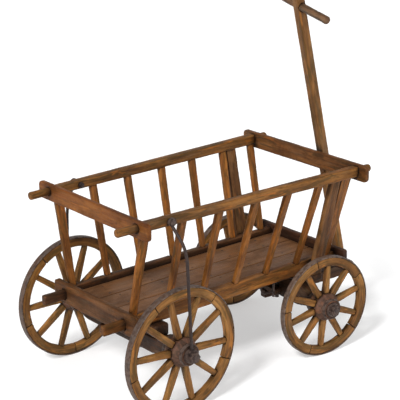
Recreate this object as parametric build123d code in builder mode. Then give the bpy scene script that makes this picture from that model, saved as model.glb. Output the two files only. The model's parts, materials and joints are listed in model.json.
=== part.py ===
# Ladder-sided garden handcart, millimetres, +Z up, +X towards the drawbar, +Y to the left.
# The origin is on the ground under the middle of the cart's outline.
# The steering stands a few degrees to the right, and the drawbar is folded back over the front board.
import os
from math import cos, radians, sin, tan

from build123d import *

# ---------------------------------------------------------------- driving dimensions
# wheels
REAR_WHEEL_R = 200.0
FRONT_WHEEL_R = 168.0
SPOKES = 10
FELLOES = 5
TYRE_T = 3.2
RIM_W = 21.0
RIM_DEPTH = 29.5
FELLOE_JOINT = 0.6
HUB_IN = 45.0
HUB_OUT = 42.0
HUB_R = 46.0
HUB_NOSE_R = 31.0
HUB_TAIL_R = 35.0
BAND_T = 2.5
BAND_W = 11.0
BUSH_R = 15.0
SPOKE_HUB_W = 23.0
SPOKE_RIM_W = 19.0
SPOKE_HUB_T = 19.0
SPOKE_RIM_T = 14.0
SPOKE_TENON = 9.0
SPOKE_FOOT = 11.0
SPOKE_FOOT_W = 13.5
HUB_STEP, HUB_SWELL = 4.0, 3.0
HUB_SLOPE = (1.0, 2.2)
TYRE_EDGE = 1.0
SPOKE_TURN = {"rear_left": 0.5, "rear_right": 31.0, "front_left": 3.0, "front_right": 13.0}

# axles and running clearances
REAR_TRACK = 560.0
FRONT_TRACK = 510.0
WHEELBASE = 638.0
AXLE_R = 11.0
RUN_GAP = 0.08
PLAY = 0.3
SHANK = 20.0
SHANK_INNER = 90.0
WASHER_T = 3.7
WASHER_R = 23.0
NUT_R = 17.0
NUT_T = 14.0
AXLE_TIP = 5.0
AXLE_EDGE = 2.0
FRONT_WASHER_T = 6.0

# ladder sides
RAIL_REAR, RAIL_FRONT = -182.0, 805.0
RAIL_SQ = 30.0
RAIL_H_REAR, RAIL_H_FRONT = 28.0, 34.0
RAIL_Z = 593.0
RAIL_Y_REAR = 223.0
RAIL_Y_FRONT = 248.0
RAIL_TENON_R = 13.0
SILL_REAR, SILL_FRONT = -193.0, 795.0
SILL_W = 22.0
SILL_Y = 154.0
SILL_LOW, SILL_TOP = 252.0, 298.0
SILL_TENON_H = 32.0
RUNG_HEADS = {
    "left": (-79.5, 55.0, 193.0, 334.0, 465.0, 602.0, 729.5),
    "right": (-79.5, 55.0, 193.0, 334.0, 465.0, 594.0, 705.0),
}
RUNG_FEET = (-82.5, 52.0, 187.0, 316.0, 442.0, 574.0, 702.0)
RUNG_HEAD_W = {
    "left": (32.0, 27.0, 27.0, 27.0, 27.0, 27.0, 27.0),
    "right": (32.0, 27.0, 27.0, 27.0, 27.0, 27.0, 45.0),
}
RUNG_FOOT_SHARE = 0.8
RUNG_HEAD_T, RUNG_FOOT_T = 17.0, 14.0
RUNG_DEPTH = 12.0
EDGE = 3.0
RAIL_EDGE = 4.8
BOARD_EDGE = 2.4
STAKE_TAPER = (0.9, 0.85)

# end boards
BOARD_T = 16.0
TOP_BOARD_REAR, TOP_BOARD_FRONT = -112.0, 744.0
TOP_BOARD_LOW, TOP_BOARD_TOP = 562.0, 617.0
TOP_BOARD_REAR_L, TOP_BOARD_FRONT_L = 556.0, 592.0
LOW_BOARD_T = 20.0
LOW_BOARD_REAR, LOW_BOARD_FRONT = -116.0, 740.0
LOW_BOARD_LOW, LOW_BOARD_TOP = 243.0, 311.0
LOW_BOARD_L = 416.0
BOARD_CORNER = 14.0
LOW_BOARD_CORNER = 8.4

# floor
FLOOR_TOP = 280.0
FLOOR_T = 14.0
PLANKS = 3
PLANK_GAP = 0.6
BATTEN_W = 44.0
BATTEN_AT = (165.0, 330.0, 490.0)
NAIL_R = 1.3
NAIL_L = 22.0
NAIL_HEAD_R = 3.2
NAIL_HEAD_T = 0.8
NAIL_PATTERN = ((-9, -118), (7, -62), (-6, -30), (8, 30), (-8, 62), (6, 118))

# rear gear
BEAM_W = 52.0
BOLSTER_HALF = 190.0
REAR_BEAM_LOW, REAR_BEAM_TOP = 158.0, 214.0
BEAM_SADDLE = 8.0
REAR_BEAM_UNDER, REAR_BEAM_FLAT, REAR_BEAM_SHOULDER = 17.0, 0.72, 0.86
REACH_REAR, REACH_FRONT = -85.0, 600.0
REACH_W = 34.0
REACH_H = 30.0
REACH_REAR_LOW, REACH_FRONT_LOW = 182.0, 192.0
REACH_FLAT = 130.0
BOLT_R = 5.0
BOLT_Y = 170.0
BOLT_HEAD_R, BOLT_HEAD_T = 10.0, 4.0
BOLT_NUT_R, BOLT_NUT_T = 9.5, 8.0
BOLT_END = 4.0

# front gear, with heights above the ground
STEER_REST = 6.0
PLATE_T = 4.0
PLATE_W = 50.0
PLATE_HALF = 120.0
PLATE_LEG = 150.0
FRONT_BEAM_LOW = 138.0
FRONT_BEAM_UNDER, FRONT_BEAM_OVER, FRONT_BEAM_FLAT = 16.0, 24.0, 0.7
KING_R = 7.0
KING_HEAD_R = 14.0
KING_HEAD_T = 5.0
KING_TAIL = 26.0
KING_WASHER_R, KING_WASHER_T = 16.8, 3.0
KING_NUT_R, KING_NUT_T = 12.6, 11.0
STAKE_FOOT_Y, STAKE_HEAD_Y = 176.0, 245.0
STAKE_FOOT_Z, STAKE_HEAD_Z = 236.0, 590.0
STAKE_HEAD_X = {"left": 637.0, "right": 658.0}
STAKE_W, STAKE_T = 46.0, 20.0

# drawbar fork, its rear rubbing bar and the drawbar
HINGE_AHEAD = 272.0
HINGE_Z = 175.0
EYE_R = 24.0
ARM_T = 26.0
ARM_GAP = 46.0
ARM_REAR = -85.0
ARM_LOW, ARM_TOP = 142.0, 170.0
ARM_LOW_FLAT, ARM_TOP_FLAT = 52.0, 36.4
SWAY_W, SWAY_HALF = 30.0, 95.0
SWAY_IN = 4.0
SWAY_TOP = 187.4
SWAY_CORNER = 6.0
HINGE_BOLT_R = 7.0
HINGE_NUT_R, HINGE_NUT_T = 13.3, 9.0
HINGE_BOLT_END = 3.0
DRAW_LEAN = 4.3
DRAW_BACK = 14.75
DRAW_W = 38.0
DRAW_FOOT_T, DRAW_HEAD_T = 28.0, 31.0
DRAW_EYE_R = 18.0
DRAW_EDGE = 7.2
DRAW_TAPER = 0.95
DRAW_L = 1008.0
HANDLE_AT = 972.0
HANDLE_R = 13.0
HANDLE_HALF = 140.0
HANDLE_SKEW = 6.8
FERRULE_AT, FERRULE_W, FERRULE_T = 30.0, 16.0, 2.0
FERRULE_EDGE = 9.0

# rear stays and the hook under the right sill
STAY_R = 4.8
STAY_Y = 330.0
STAY_EYE_X, STAY_EYE_Z = 0.0, 593.0
STAY_EYE_R, STAY_EYE_T = 13.0, 9.0
STAY_LAP = 3.0
STAY_START = (0.65, 0.75)
STAY_ELBOW = {"left": (288.0, 505.0), "right": (294.0, 539.0)}
STAY_KNEE = {"left": (299.0, 390.0), "right": (315.0, 480.0)}
STAY_FOOT_R, STAY_FOOT_T = 22.0, 12.0
STAY_FOOT_UP = 16.0
HOOK_REAR, HOOK_PIN = 427.0, 481.0
HOOK_R, HOOK_PIN_R = 3.2, 4.2
HOOK_DROP, HOOK_PIN_DROP = 30.0, 49.0
HOOK_BEND = 25.5

# ---------------------------------------------------------------- worked-out places
STEER = radians(STEER_REST)
FORK_HALF = ARM_GAP / 2 + ARM_T
FORK_TIP = WHEELBASE + HINGE_AHEAD * cos(STEER) + FORK_HALF * sin(STEER) + EYE_R
REAR_X = (REAR_WHEEL_R - FORK_TIP) / 2
FRONT_X = REAR_X + WHEELBASE
BOLSTER_TOP = FLOOR_TOP - FLOOR_T
LOWER_PLATE_TOP = 221.7
FRONT_BEAM_TOP = LOWER_PLATE_TOP - PLATE_T
UPPER_PLATE_LOW = LOWER_PLATE_TOP + PLAY
UPPER_PLATE_TOP = UPPER_PLATE_LOW + PLATE_T
SILL_IN = SILL_Y - SILL_W / 2

BED = Plane(origin=(REAR_X, 0, 0), x_dir=(1, 0, 0), z_dir=(0, 0, 1))
FRONT = Plane(origin=(FRONT_X, 0, 0), x_dir=(cos(STEER), -sin(STEER), 0), z_dir=(0, 0, 1))

lean, back = radians(DRAW_LEAN), radians(DRAW_BACK)
upright = Vector(0, 0, 1) * cos(lean) - FRONT.y_dir * sin(lean)
HINGE_AXIS = FRONT.y_dir * cos(lean) + Vector(0, 0, 1) * sin(lean)
DRAW_DIR = upright * cos(back) - FRONT.x_dir * sin(back)
HINGE = FRONT.from_local_coords(Vector(HINGE_AHEAD, 0, HINGE_Z))
DRAW = Plane(origin=HINGE, x_dir=HINGE_AXIS, z_dir=DRAW_DIR)


# ---------------------------------------------------------------- helpers
def point(base, x, y, z):
    """A point given along, across and above a base plane."""
    return base.from_local_coords(Vector(x, y, z))


def across(base, x):
    """The plane that cuts the base squarely at station x: its x runs left and its y runs up."""
    return Plane(origin=point(base, x, 0, 0), x_dir=base.y_dir, z_dir=base.x_dir)


def along(base, y):
    """The upright plane at offset y from the base's middle: its x runs forward and its y runs up."""
    return Plane(origin=point(base, 0, y, 0), x_dir=base.x_dir, z_dir=-base.y_dir)


def bar_plane(start, end, side):
    """The plane at the start of a straight bar, with the bar along its z and side near its x."""
    run = (end - start).normalized()
    square = (side - run * side.dot(run)).normalized()
    return Plane(origin=start, x_dir=square, z_dir=run)


def turned(base, degrees):
    """The base plane turned about its own z."""
    turn = radians(degrees)
    return Plane(origin=base.origin, x_dir=base.x_dir * cos(turn) + base.y_dir * sin(turn), z_dir=base.z_dir)


def rail_y(x):
    """How far the top rail's middle stands from the cart's middle at station x."""
    share = (x - TOP_BOARD_REAR) / (TOP_BOARD_FRONT + BOARD_T - TOP_BOARD_REAR)
    return RAIL_Y_REAR + share * (RAIL_Y_FRONT - RAIL_Y_REAR)


def save(piece, name):
    """Label a finished piece and write it as one node."""
    piece.part.label = name
    export_step(piece.part, f"parts/{name}.step")


os.makedirs("parts", exist_ok=True)
SIDES = {"left": 1, "right": -1}


# ---------------------------------------------------------------- wheels
def wheel_spokes(hub_plane, rim_r, start):
    """Ten tapered spokes, from mortises in the hub to tenons in the felloes."""
    inner = BUSH_R + SPOKE_FOOT
    outer = rim_r + SPOKE_TENON
    with BuildPart() as spokes:
        for i in range(SPOKES):
            turn = turned(hub_plane, start + i * 360 / SPOKES)
            foot = Plane(origin=point(turn, inner, 0, 0), x_dir=turn.y_dir, z_dir=turn.x_dir)
            with BuildSketch(foot):
                RectangleRounded(SPOKE_FOOT_W, SPOKE_HUB_T, EDGE)
            with BuildSketch(foot.offset(HUB_R - inner)):
                RectangleRounded(SPOKE_HUB_W, SPOKE_HUB_T, EDGE)
            loft()
            with BuildSketch(foot.offset(HUB_R - inner)):
                RectangleRounded(SPOKE_HUB_W, SPOKE_HUB_T, EDGE)
            with BuildSketch(foot.offset(outer - inner)):
                RectangleRounded(SPOKE_RIM_W, SPOKE_RIM_T, EDGE)
            loft()
    return spokes


def wheel_felloes(hub_plane, outer_r, inner_r, start, spokes):
    """Five curved rim blocks with fine joints between them."""
    with BuildPart() as felloes:
        with BuildSketch(hub_plane.offset(-RIM_W / 2)):
            Circle(outer_r)
            Circle(inner_r, mode=Mode.SUBTRACT)
            with PolarLocations(0, FELLOES, start + 180 / SPOKES):
                with Locations((outer_r / 2, 0)):
                    Rectangle(outer_r, FELLOE_JOINT, mode=Mode.SUBTRACT)
        extrude(amount=RIM_W)
        inner_edges = felloes.edges().filter_by(GeomType.CIRCLE)
        chamfer(inner_edges.filter_by(lambda e: e.radius < outer_r - TYRE_EDGE), EDGE)
        add(spokes.part, mode=Mode.SUBTRACT)
    return felloes


def wheel_tyre(hub_plane, outer_r):
    """The iron hoop shrunk on the felloes."""
    with BuildPart() as tyre:
        with BuildSketch(hub_plane.offset(-RIM_W / 2)):
            Circle(outer_r)
            Circle(outer_r - TYRE_T, mode=Mode.SUBTRACT)
        extrude(amount=RIM_W)
        rims = tyre.edges().filter_by(GeomType.CIRCLE)
        chamfer(rims.filter_by(lambda e: e.radius > outer_r - TYRE_EDGE), TYRE_EDGE)
    return tyre


def wheel_hub(hub_plane, spokes):
    """The turned hub, fullest where the spokes enter."""
    profile_plane = Plane(origin=hub_plane.origin, x_dir=hub_plane.x_dir, z_dir=-hub_plane.y_dir)
    tail_step = (HUB_TAIL_R + HUB_STEP, -HUB_IN + BAND_W + HUB_SWELL)
    nose_step = (HUB_NOSE_R + HUB_STEP, HUB_OUT - BAND_W - HUB_SWELL)
    belly_half = SPOKE_HUB_T / 2 + HUB_SWELL
    out, rise = HUB_SLOPE
    with BuildPart() as hub:
        with BuildSketch(profile_plane):
            with BuildLine():
                Polyline(
                    (BUSH_R, -HUB_IN),
                    (HUB_TAIL_R, -HUB_IN),
                    (HUB_TAIL_R, -HUB_IN + BAND_W),
                    tail_step,
                )
                Spline(tail_step, (HUB_R, -belly_half), tangents=[(out, rise), (0, 1)])
                Line((HUB_R, -belly_half), (HUB_R, belly_half))
                Spline((HUB_R, belly_half), nose_step, tangents=[(0, 1), (-out, rise)])
                Polyline(
                    nose_step,
                    (HUB_NOSE_R, HUB_OUT - BAND_W),
                    (HUB_NOSE_R, HUB_OUT),
                    (BUSH_R, HUB_OUT),
                    (BUSH_R, -HUB_IN),
                )
            make_face()
        revolve(axis=Axis(hub_plane.origin, hub_plane.z_dir), revolution_arc=360)
        add(spokes.part, mode=Mode.SUBTRACT)
    return hub


def wheel_bands(hub_plane):
    """An iron band round each end of the hub."""
    with BuildPart() as bands:
        with BuildSketch(hub_plane.offset(-HUB_IN)):
            Circle(HUB_TAIL_R + BAND_T)
            Circle(HUB_TAIL_R, mode=Mode.SUBTRACT)
        extrude(amount=BAND_W)
        with BuildSketch(hub_plane.offset(HUB_OUT - BAND_W)):
            Circle(HUB_NOSE_R + BAND_T)
            Circle(HUB_NOSE_R, mode=Mode.SUBTRACT)
        extrude(amount=BAND_W)
    return bands


def wheel_bush(hub_plane):
    """The iron box in the hub's bore that runs on the axle arm."""
    with BuildPart() as bush:
        with BuildSketch(hub_plane.offset(-HUB_IN)):
            Circle(BUSH_R)
            Circle(AXLE_R + RUN_GAP, mode=Mode.SUBTRACT)
        extrude(amount=HUB_IN + HUB_OUT)
    return bush


def make_wheel(name, hub_plane, radius):
    """Write the six nodes of one wheel, whose axle points out along the plane's z."""
    wood_r = radius - TYRE_T
    rim_r = wood_r - RIM_DEPTH
    start = SPOKE_TURN[name]
    spokes = wheel_spokes(hub_plane, rim_r, start)
    save(spokes, f"{name}_spokes")
    save(wheel_felloes(hub_plane, wood_r, rim_r, start, spokes), f"{name}_felloes")
    save(wheel_tyre(hub_plane, radius), f"{name}_tyre")
    save(wheel_hub(hub_plane, spokes), f"{name}_hub")
    save(wheel_bands(hub_plane), f"{name}_hub_bands")
    save(wheel_bush(hub_plane), f"{name}_bush")


def axle_plane(base, track, height, sign):
    """The plane in a wheel's middle, facing outwards."""
    centre = point(base, 0, sign * track / 2, height)
    return Plane(origin=centre, x_dir=base.x_dir, z_dir=base.y_dir * sign)


for side, sign in SIDES.items():
    make_wheel(f"rear_{side}", axle_plane(BED, REAR_TRACK, REAR_WHEEL_R, sign), REAR_WHEEL_R)
    make_wheel(f"front_{side}", axle_plane(FRONT, FRONT_TRACK, FRONT_WHEEL_R, sign), FRONT_WHEEL_R)


# ---------------------------------------------------------------- axle arms, washers and nuts
def axle_arms(base, track, height, tip):
    """A pair of forged arms: a square shank let into the beam and a round arm outside it."""
    shank_out = track / 2 - HUB_IN - PLAY - WASHER_T
    with BuildPart() as arms:
        for sign in SIDES.values():
            middle = axle_plane(base, 0, height, sign)
            with BuildSketch(middle.offset(SHANK_INNER)):
                Rectangle(SHANK, SHANK)
            extrude(amount=shank_out - SHANK_INNER)
            with BuildSketch(middle.offset(shank_out)):
                Circle(AXLE_R)
            extrude(amount=tip - shank_out)
            end = arms.edges().filter_by(GeomType.CIRCLE).sort_by(Axis(middle.origin, middle.z_dir))[-1]
            chamfer(end, AXLE_EDGE)
    return arms


def axle_nuts(base, track, height, tip, eye_t):
    """Thrust washers both sides of each hub, and a hexagon nut near the arm's tip."""
    hub_in = track / 2 - HUB_IN - PLAY
    hub_out = track / 2 + HUB_OUT + PLAY
    nut_at = tip - AXLE_TIP - NUT_T
    with BuildPart() as nuts:
        for sign in SIDES.values():
            middle = axle_plane(base, 0, height, sign)
            with BuildSketch(middle.offset(hub_in - WASHER_T)):
                Circle(WASHER_R)
                Circle(AXLE_R, mode=Mode.SUBTRACT)
            extrude(amount=WASHER_T)
            with BuildSketch(middle.offset(hub_out)):
                Circle(WASHER_R)
                Circle(AXLE_R, mode=Mode.SUBTRACT)
            extrude(amount=nut_at - eye_t - hub_out)
            with BuildSketch(middle.offset(nut_at)):
                RegularPolygon(NUT_R, 6)
                Circle(AXLE_R, mode=Mode.SUBTRACT)
            extrude(amount=NUT_T)
    return nuts


REAR_TIP = STAY_Y + STAY_FOOT_T / 2 + NUT_T + AXLE_TIP
FRONT_TIP = FRONT_TRACK / 2 + HUB_OUT + PLAY + FRONT_WASHER_T + NUT_T + AXLE_TIP
rear_axle_arms = axle_arms(BED, REAR_TRACK, REAR_WHEEL_R, REAR_TIP)
save(rear_axle_arms, "rear_axle_arms")
save(axle_nuts(BED, REAR_TRACK, REAR_WHEEL_R, REAR_TIP, STAY_FOOT_T), "rear_axle_nuts")
front_axle_arms = axle_arms(FRONT, FRONT_TRACK, FRONT_WHEEL_R, FRONT_TIP)
save(front_axle_arms, "front_axle_arms")
save(axle_nuts(FRONT, FRONT_TRACK, FRONT_WHEEL_R, FRONT_TIP, PLAY), "front_axle_nuts")


# ---------------------------------------------------------------- ladder sides
def make_rungs(side, sign):
    """Seven tapered slats, spread a little wider along the top rail than along the sill."""
    with BuildPart() as rungs:
        for head_x, foot_x, width in zip(RUNG_HEADS[side], RUNG_FEET, RUNG_HEAD_W[side]):
            foot = point(BED, foot_x, sign * SILL_Y, SILL_TOP - RUNG_DEPTH)
            head = point(BED, head_x, sign * rail_y(head_x), RAIL_Z - RAIL_SQ / 2 + RUNG_DEPTH)
            bar = bar_plane(foot, head, BED.x_dir)
            with BuildSketch(bar):
                RectangleRounded(width * RUNG_FOOT_SHARE, RUNG_FOOT_T, EDGE)
            with BuildSketch(bar.offset((head - foot).length)):
                RectangleRounded(width, RUNG_HEAD_T, EDGE)
            loft()
    return rungs


def make_rail_tenons(sign):
    """The round ends that pass through the top end boards, as wide bars the boards are bored for."""
    rear = point(BED, RAIL_REAR, sign * rail_y(RAIL_REAR), RAIL_Z)
    front = point(BED, RAIL_FRONT, sign * rail_y(RAIL_FRONT), RAIL_Z)
    bar = bar_plane(rear, front, BED.y_dir)
    with BuildPart() as tenon:
        with BuildSketch(bar):
            Circle(RAIL_TENON_R)
        extrude(amount=(front - rear).length)
        chamfer(tenon.edges().filter_by(GeomType.CIRCLE), EDGE)
    return tenon


def make_rail(sign, tenon, cut_by):
    """The top rail: square with eased edges between the boards, round beyond them."""
    rear_x = TOP_BOARD_REAR + BOARD_T
    rear = point(BED, rear_x + PLAY, sign * rail_y(rear_x), RAIL_Z)
    front = point(BED, TOP_BOARD_FRONT - PLAY, sign * rail_y(TOP_BOARD_FRONT), RAIL_Z)
    bar = bar_plane(rear, front, BED.y_dir)
    with BuildPart() as rail:
        with BuildSketch(bar):
            RectangleRounded(RAIL_SQ, RAIL_H_REAR, RAIL_EDGE)
        with BuildSketch(bar.offset((front - rear).length)):
            RectangleRounded(RAIL_SQ, RAIL_H_FRONT, RAIL_EDGE)
        loft()
        add(tenon.part)
        for piece in cut_by:
            add(piece.part, mode=Mode.SUBTRACT)
    return rail


def make_sill(sign, cut_by):
    """The bottom rail, with a lower tenon through each bottom end board."""
    height = SILL_TOP - SILL_LOW
    middle = (SILL_TOP + SILL_LOW) / 2
    rear_x = LOW_BOARD_REAR + LOW_BOARD_T
    with BuildPart() as sill:
        with BuildSketch(across(BED, rear_x)):
            with Locations((sign * SILL_Y, middle)):
                RectangleRounded(SILL_W, height, EDGE)
        extrude(amount=LOW_BOARD_FRONT - rear_x)
        with BuildSketch(across(BED, SILL_REAR)):
            with Locations((sign * SILL_Y, middle)):
                RectangleRounded(SILL_W, SILL_TENON_H, EDGE * 2)
        extrude(amount=SILL_FRONT - SILL_REAR)
        for end in (0, -1):
            chamfer(sill.faces().filter_by(Axis.X).sort_by(Axis.X)[end].edges(), BOARD_EDGE)
        for piece in cut_by:
            add(piece.part, mode=Mode.SUBTRACT)
    return sill


def make_stakes():
    """Two leaning posts from the front bolster's ends up into the top rails."""
    wide, deep = STAKE_TAPER
    with BuildPart() as stakes:
        for side, sign in SIDES.items():
            foot = point(BED, WHEELBASE, sign * STAKE_FOOT_Y, STAKE_FOOT_Z)
            head = point(BED, STAKE_HEAD_X[side], sign * STAKE_HEAD_Y, STAKE_HEAD_Z)
            bar = bar_plane(foot, head, BED.x_dir)
            with BuildSketch(bar):
                RectangleRounded(STAKE_W, STAKE_T, EDGE)
            with BuildSketch(bar.offset((head - foot).length)):
                RectangleRounded(STAKE_W * wide, STAKE_T * deep, EDGE)
            loft()
    return stakes


def bolt(shank_plane, nut_at):
    """A coach bolt from its head at the plane, with a hexagon nut further along."""
    with BuildPart() as one:
        with BuildSketch(shank_plane):
            Circle(BOLT_R)
        extrude(amount=nut_at + BOLT_NUT_T + BOLT_END)
        with BuildSketch(shank_plane):
            Circle(BOLT_HEAD_R)
        extrude(amount=BOLT_HEAD_T)
        with BuildSketch(shank_plane.offset(nut_at)):
            RegularPolygon(BOLT_NUT_R, 6)
        extrude(amount=BOLT_NUT_T)
    return one.part


with BuildPart() as coach_bolts:
    beam_depth = BOLSTER_TOP - REAR_BEAM_LOW
    rail_depth = BOLT_HEAD_T + STAY_EYE_T + RAIL_SQ + 5 * PLAY
    rail_face = rail_y(STAY_EYE_X) + RAIL_SQ / 2 + 3 * PLAY
    for sign in SIDES.values():
        bolster_top = point(BED, 0, sign * BOLT_Y / 2, BOLSTER_TOP)
        eye_face = point(BED, STAY_EYE_X, sign * (rail_face + STAY_EYE_T + BOLT_HEAD_T), STAY_EYE_Z)
        add(bolt(Plane(origin=bolster_top, z_dir=-BED.z_dir), beam_depth))
        add(bolt(Plane(origin=eye_face, z_dir=-BED.y_dir * sign), rail_depth))
save(coach_bolts, "coach_bolts")

front_stakes = make_stakes()
save(front_stakes, "front_stakes")
tenons = {}
for side, sign in SIDES.items():
    rungs = make_rungs(side, sign)
    save(rungs, f"rungs_{side}")
    tenons[side] = make_rail_tenons(sign)
    save(make_rail(sign, tenons[side], (rungs, front_stakes, coach_bolts)), f"top_rail_{side}")
    save(make_sill(sign, (rungs,)), f"bottom_rail_{side}")


# ---------------------------------------------------------------- end boards
def make_top_board(station, length):
    """A plank on edge with rounded corners, bored for the round rail ends."""
    height = TOP_BOARD_TOP - TOP_BOARD_LOW
    with BuildPart() as board:
        with BuildSketch(across(BED, station)):
            with Locations((0, TOP_BOARD_LOW + height / 2)):
                RectangleRounded(length, height, BOARD_CORNER)
        extrude(amount=BOARD_T)
        faces = board.faces().filter_by(Axis.X)
        fillet(faces.edges(), BOARD_EDGE)
        for tenon in tenons.values():
            add(tenon.part, mode=Mode.SUBTRACT)
    return board


def make_low_board(station):
    """The low plank across the floor's end, with a slot for each sill's tenon."""
    height = LOW_BOARD_TOP - LOW_BOARD_LOW
    with BuildPart() as board:
        with BuildSketch(across(BED, station)):
            with Locations((0, LOW_BOARD_LOW + height / 2)):
                RectangleRounded(LOW_BOARD_L, height, LOW_BOARD_CORNER)
        extrude(amount=LOW_BOARD_T)
        faces = board.faces().filter_by(Axis.X)
        fillet(faces.edges(), BOARD_EDGE)
        with BuildSketch(across(BED, station)):
            with Locations(*[(sign * SILL_Y, (SILL_TOP + SILL_LOW) / 2) for sign in SIDES.values()]):
                RectangleRounded(SILL_W, SILL_TENON_H, EDGE * 2)
        extrude(amount=LOW_BOARD_T, mode=Mode.SUBTRACT)
    return board


save(make_top_board(TOP_BOARD_REAR, TOP_BOARD_REAR_L), "top_board_rear")
save(make_top_board(TOP_BOARD_FRONT, TOP_BOARD_FRONT_L), "top_board_front")
save(make_low_board(LOW_BOARD_REAR), "bottom_board_rear")
save(make_low_board(LOW_BOARD_FRONT), "bottom_board_front")

# ---------------------------------------------------------------- floor
nail_rows = (0.0,) + BATTEN_AT + (WHEELBASE,)
nail_spots = [(x + shift, y) for x in nail_rows for shift, y in NAIL_PATTERN]
with BuildPart() as floor_nails:
    with BuildSketch(BED.offset(FLOOR_TOP - NAIL_L)):
        with Locations(*nail_spots):
            Circle(NAIL_R)
    extrude(amount=NAIL_L)
    with BuildSketch(BED.offset(FLOOR_TOP - NAIL_HEAD_T)):
        with Locations(*nail_spots):
            Circle(NAIL_HEAD_R)
    extrude(amount=NAIL_HEAD_T)
save(floor_nails, "floor_nails")

FLOOR_REAR = LOW_BOARD_REAR + LOW_BOARD_T
plank_w = (2 * SILL_IN - (PLANKS - 1) * PLANK_GAP) / PLANKS
with BuildPart() as floor_boards:
    with BuildSketch(BED.offset(BOLSTER_TOP)):
        with Locations(((FLOOR_REAR + LOW_BOARD_FRONT) / 2, 0)):
            with GridLocations(0, plank_w + PLANK_GAP, 1, PLANKS):
                Rectangle(LOW_BOARD_FRONT - FLOOR_REAR, plank_w)
    extrude(amount=FLOOR_T)
    add(floor_nails.part, mode=Mode.SUBTRACT)
save(floor_boards, "floor_boards")

with BuildPart() as floor_battens:
    with BuildSketch(BED.offset(SILL_LOW)):
        with Locations(*[(x, 0) for x in BATTEN_AT]):
            Rectangle(BATTEN_W, 2 * SILL_IN)
    extrude(amount=BOLSTER_TOP - SILL_LOW)
    add(floor_nails.part, mode=Mode.SUBTRACT)
save(floor_battens, "floor_battens")

# ---------------------------------------------------------------- reach pole and rear gear
flat_from = REACH_FRONT - REACH_FLAT
with BuildPart() as reach_pole:
    with BuildSketch(along(BED, REACH_W / 2)):
        Polygon(
            (REACH_REAR, REACH_REAR_LOW),
            (REACH_FRONT, REACH_FRONT_LOW),
            (REACH_FRONT, REACH_FRONT_LOW + REACH_H),
            (flat_from, REACH_FRONT_LOW + REACH_H),
            (REACH_REAR, REACH_REAR_LOW + REACH_H),
            align=None,
        )
    extrude(amount=REACH_W)
    chamfer(reach_pole.faces().sort_by(Axis.X)[0].edges(), EDGE)
save(reach_pole, "reach_pole")

with BuildPart() as rear_axle_beam:
    beam_half = REAR_TRACK / 2 - HUB_IN - PLAY - WASHER_T
    flat_half = beam_half * REAR_BEAM_FLAT
    shoulder = beam_half * REAR_BEAM_SHOULDER
    with BuildSketch(across(BED, -BEAM_W / 2)):
        Polygon(
            (-beam_half, REAR_WHEEL_R - REAR_BEAM_UNDER),
            (-flat_half, REAR_BEAM_LOW),
            (flat_half, REAR_BEAM_LOW),
            (beam_half, REAR_WHEEL_R - REAR_BEAM_UNDER),
            (beam_half, REAR_BEAM_TOP + BEAM_SADDLE),
            (shoulder, REAR_BEAM_TOP + BEAM_SADDLE),
            (shoulder, REAR_BEAM_TOP),
            (-shoulder, REAR_BEAM_TOP),
            (-shoulder, REAR_BEAM_TOP + BEAM_SADDLE),
            (-beam_half, REAR_BEAM_TOP + BEAM_SADDLE),
            align=None,
        )
    extrude(amount=BEAM_W)
    chamfer(rear_axle_beam.faces().sort_by(Axis.Z)[0].edges().filter_by(Axis.Y), EDGE * 2)
    add(rear_axle_arms.part, mode=Mode.SUBTRACT)
    add(reach_pole.part, mode=Mode.SUBTRACT)
    add(coach_bolts.part, mode=Mode.SUBTRACT)
save(rear_axle_beam, "rear_axle_beam")


def make_bolster(station, low, notch):
    """A bolster that carries the sills on its shoulders and the floor between them."""
    with BuildPart() as bolster:
        with BuildSketch(across(BED, station - BEAM_W / 2)):
            with Locations((0, (low + SILL_LOW) / 2)):
                RectangleRounded(2 * BOLSTER_HALF, SILL_LOW - low, EDGE)
            with Locations((0, (low + BOLSTER_TOP) / 2)):
                Rectangle(2 * SILL_IN, BOLSTER_TOP - low)
        extrude(amount=BEAM_W)
        for piece in notch:
            add(piece.part, mode=Mode.SUBTRACT)
    return bolster


save(make_bolster(0, REAR_BEAM_TOP, (floor_nails, coach_bolts)), "rear_bolster")

# ---------------------------------------------------------------- king pin and turntable
with BuildPart() as king_pin:
    with BuildSketch(BED.offset(FRONT_BEAM_LOW - KING_TAIL)):
        with Locations((WHEELBASE, 0)):
            Circle(KING_R)
    extrude(amount=BOLSTER_TOP - FRONT_BEAM_LOW + KING_TAIL)
    with BuildSketch(BED.offset(BOLSTER_TOP - KING_HEAD_T)):
        with Locations((WHEELBASE, 0)):
            Circle(KING_HEAD_R)
    extrude(amount=KING_HEAD_T)
save(king_pin, "king_pin")

with BuildPart() as king_pin_nut:
    washer_low = FRONT_BEAM_LOW - PLAY - KING_WASHER_T
    with BuildSketch(BED.offset(washer_low)):
        with Locations((WHEELBASE, 0)):
            Circle(KING_WASHER_R)
            Circle(KING_R, mode=Mode.SUBTRACT)
    extrude(amount=KING_WASHER_T)
    with BuildSketch(BED.offset(washer_low - KING_NUT_T)):
        with Locations((WHEELBASE, 0)):
            RegularPolygon(KING_NUT_R, 6)
            Circle(KING_R, mode=Mode.SUBTRACT)
    extrude(amount=KING_NUT_T)
save(king_pin_nut, "king_pin_nut")

with BuildPart() as turntable_upper_plate:
    with BuildSketch(BED.offset(UPPER_PLATE_LOW)):
        with Locations((WHEELBASE, 0)):
            Rectangle(PLATE_W, 2 * PLATE_HALF)
        with Locations((WHEELBASE - PLATE_LEG / 2, 0)):
            Rectangle(PLATE_LEG, REACH_W)
        with Locations((WHEELBASE, 0)):
            Circle(KING_R, mode=Mode.SUBTRACT)
    extrude(amount=PLATE_T)
save(turntable_upper_plate, "turntable_upper_plate")
save(make_bolster(WHEELBASE, UPPER_PLATE_TOP, (floor_nails, front_stakes, king_pin)), "front_bolster")

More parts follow.
